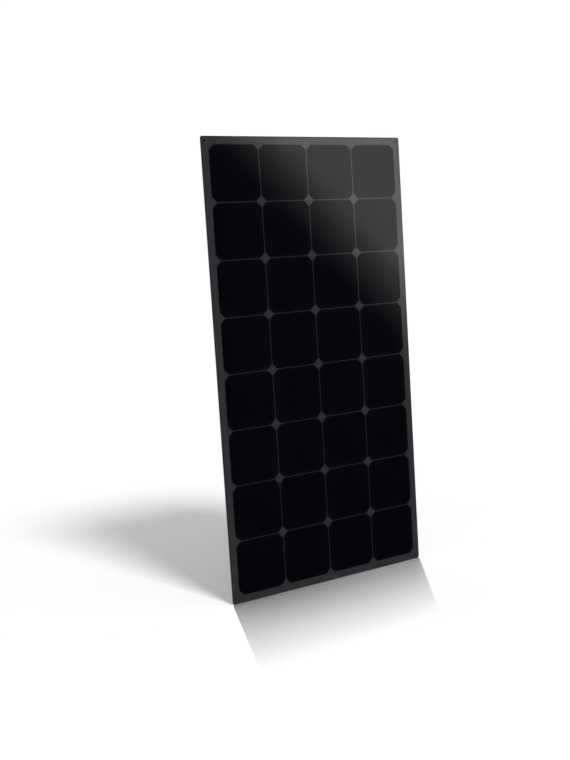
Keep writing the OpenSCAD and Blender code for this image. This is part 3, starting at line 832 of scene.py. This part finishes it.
def hole_shade_surface(graph):
    """Painted shade: near black from the front, clear from behind."""
    behind = graph.make("NewGeometry", output="Backfacing")
    grain = graph.noise(graph.position(), scale=900.0)
    black = graph.mix(grain, (0.004, 0.004, 0.004), (0.010, 0.010, 0.011))
    dark = graph.make("BsdfDiffuse", {"Color": black})
    clear = graph.make("BsdfTransparent")
    return graph.make("MixShader", {0: behind, 1: dark, 2: clear})


def build_hole_shade_discs():
    """Discs of painted shade behind the four corner holes, facing -Y, that make the holes look dark
    from the front.
    """
    count = HOLE_SHADE_SEGMENTS
    vertices, faces = [], []
    for centre_x in (-HOLE_X, HOLE_X):
        for centre_z in (-HOLE_Z, HOLE_Z):
            first = len(vertices)
            vertices.append((centre_x, HOLE_SHADE_Y, centre_z))
            vertices += [(centre_x + x, HOLE_SHADE_Y, centre_z + z)
                         for x, z in circle(HOLE_SHADE_RADIUS, count)]
            faces += [(first, first + 1 + i, first + 1 + (i + 1) % count) for i in range(count)]
    material = make_material("hole_painted_shade", hole_shade_surface)
    add_stage("stage_hole_shade_discs", vertices, faces, material, ("shadow",))


build_floor()
build_card()
# painted shade in the corner holes
build_hole_shade_discs()

# ------------------------------------------------------------------ lights
KEY_DIRECTION = Vector((0.050, -0.714, 0.690)).normalized()  # towards the key light
REAR_TARGET = Vector((0.0, 0.0, 0.1))
REAR_DISK_SIZE = 0.9


def aim_light(light, direction):
    light.rotation_mode = "QUATERNION"
    light.rotation_quaternion = direction.to_track_quat("-Z", "Y")


def add_key():
    data = bpy.data.lights.new("key", "SUN")
    data.energy = 2.40
    data.angle = math.radians(15.0)
    light = add_object("key", data)
    light.location = KEY_DIRECTION * 4.0
    aim_light(light, -KEY_DIRECTION)
    light.visible_glossy = False


def add_rear_light(name, location, power, receivers):
    """A soft disk behind the panel that lights only the product."""
    data = bpy.data.lights.new(name, "AREA")
    data.shape = "DISK"
    data.size = REAR_DISK_SIZE
    data.energy = power
    light = add_object(name, data)
    light.location = location
    aim_light(light, REAR_TARGET - Vector(location))
    light.visible_camera = False
    light.light_linking.receiver_collection = receivers


add_key()
product = bpy.data.collections.new("lit_from_behind")
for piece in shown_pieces():
    product.objects.link(piece)
add_rear_light("rear_soft", (1.1, 1.9, 1.9), power=75.0, receivers=product)
add_rear_light("rear_low", (-1.9, 1.6, 0.5), power=14.0, receivers=product)

# ------------------------------------------------------------------ world
AMBIENT = 0.60
DARK_AIM = (0.545, -0.836, -0.06)  # where the panel mirrors the camera's view


def mirrored_studio(graph, direction, x, y, z):
    """Brightness of the studio as mirrors see it."""
    rear_side = y.ramp(start=-0.08, end=0.16)
    high = z.ramp(start=0.55, end=0.95)
    band = z.ramp(start=0.06, end=0.20) * 0.75
    low = 1.0 - z.ramp(start=0.06, end=0.20)
    sideways = x.ramp(start=-0.35, end=0.70) * low * 0.42
    behind = 0.16 + (1.0 - low) * 0.14 + (band + sideways) - high * 0.60
    # in front of the panel it is dark round one direction, and paler further off
    off_aim = graph.dot(direction, DARK_AIM).ramp(start=0.86, end=0.30)
    front = 0.012 + off_aim * 0.30
    return graph.mix_value(rear_side, front, behind)


def build_world():
    """A plain studio with its own brightness for each kind of ray."""
    world = bpy.data.worlds.new("studio")
    scene.world = world
    graph = Graph(world)
    camera_ray, diffuse_ray, glossy_ray = graph.outputs(
        "LightPath", ("Is Camera Ray", "Is Diffuse Ray", "Is Glossy Ray"))
    direction = graph.make("TexCoord", output="Generated")
    x, y, z = graph.separate(direction)
    mirrored = mirrored_studio(graph, direction, x, y, z)
    # behind the panel the soft light comes more from above than from the side
    from_above = z.ramp(start=0.25, end=0.90) * 0.42 - 0.26
    ambient = AMBIENT + from_above * y.ramp(start=0.0, end=0.25)
    other_ray = graph.math("SUBTRACT", 1.0, camera_ray + diffuse_ray + glossy_ray, clamp=True)
    strength = (camera_ray * BACKDROP + diffuse_ray * ambient
                + (glossy_ray * mirrored + other_ray * 0.8))
    background = graph.make("Background", {"Color": WHITE, "Strength": strength})
    graph.finish(background, "OutputWorld")
    world.cycles.sampling_method = "NONE"


build_world()

# ------------------------------------------------------------------ camera and render
CAMERA_PLACE = (-1.33574587, -2.02884543, 0.244401666)
CAMERA_AXES = (
    (0.847443504, -0.527157978, -0.0628010752),  # right
    (0.113192290, 0.0638434069, 0.991519806),  # up
    (-0.518678141, -0.847365615, 0.113773899),  # backwards
)
camera_data = bpy.data.cameras.new("camera")
camera = add_object("camera", camera_data)
camera.matrix_world = (Matrix.Translation(CAMERA_PLACE)
                       @ Matrix(CAMERA_AXES).transposed().to_4x4())
camera_data.sensor_width = 36.0
camera_data.lens = 49.045
camera_data.clip_start = 0.05
camera_data.clip_end = 60.0
scene.camera = camera

scene.view_settings.view_transform = "Standard"
scene.view_settings.look = "None"
scene.cycles.transparent_max_bounces = 16
scene.cycles.max_bounces = 8
